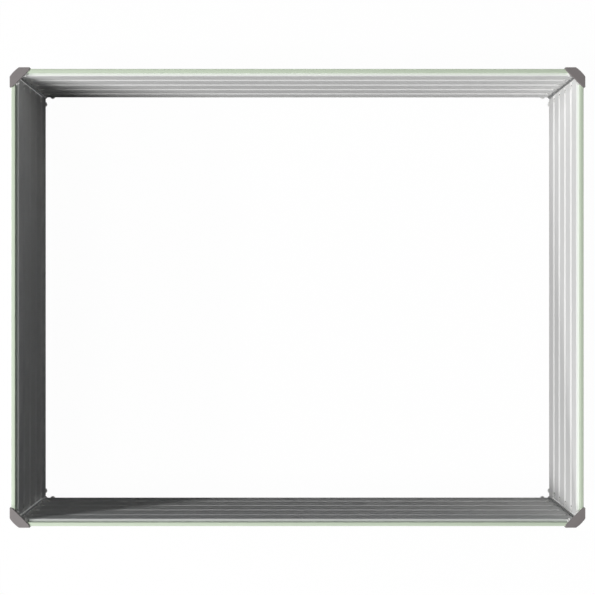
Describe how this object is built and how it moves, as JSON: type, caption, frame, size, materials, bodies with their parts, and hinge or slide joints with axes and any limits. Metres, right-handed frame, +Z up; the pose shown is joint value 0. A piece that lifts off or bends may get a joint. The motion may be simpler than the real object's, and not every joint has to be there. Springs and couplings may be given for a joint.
{
  "type": "raised garden bed",
  "caption": "Low rectangular raised garden bed with ribbed sheet-steel walls and a rolled rim, bolted to plastic corner posts under bevelled corner caps, open at the top and the bottom.",
  "frame": {"origin": "centre of the footprint, at ground level", "axes": "+X along the long walls, +Y across the bed towards the back wall, +Z up"},
  "size_m": [1, 0.8, 0.3025],
  "materials": {
    "panel": "satin",
    "corner_plastic": "matte",
    "fastener": "zinc plated"
  },
  "bodies": {
    "root": {"long_panel_back": "panel", "long_panel_front": "panel", "end_panel_right": "panel", "end_panel_left": "panel", "corner_post_back_right": "corner_plastic", "corner_cap_back_right": "corner_plastic", "bolts_back_right": "fastener", "nuts_back_right": "fastener", "cap_screws_back_right": "fastener", "corner_post_back_left": "corner_plastic", "corner_cap_back_left": "corner_plastic", "bolts_back_left": "fastener", "nuts_back_left": "fastener", "cap_screws_back_left": "fastener", "corner_post_front_left": "corner_plastic", "corner_cap_front_left": "corner_plastic", "bolts_front_left": "fastener", "nuts_front_left": "fastener", "cap_screws_front_left": "fastener", "corner_post_front_right": "corner_plastic", "corner_cap_front_right": "corner_plastic", "bolts_front_right": "fastener", "nuts_front_right": "fastener", "cap_screws_front_right": "fastener"}
  },
  "joints": []
}
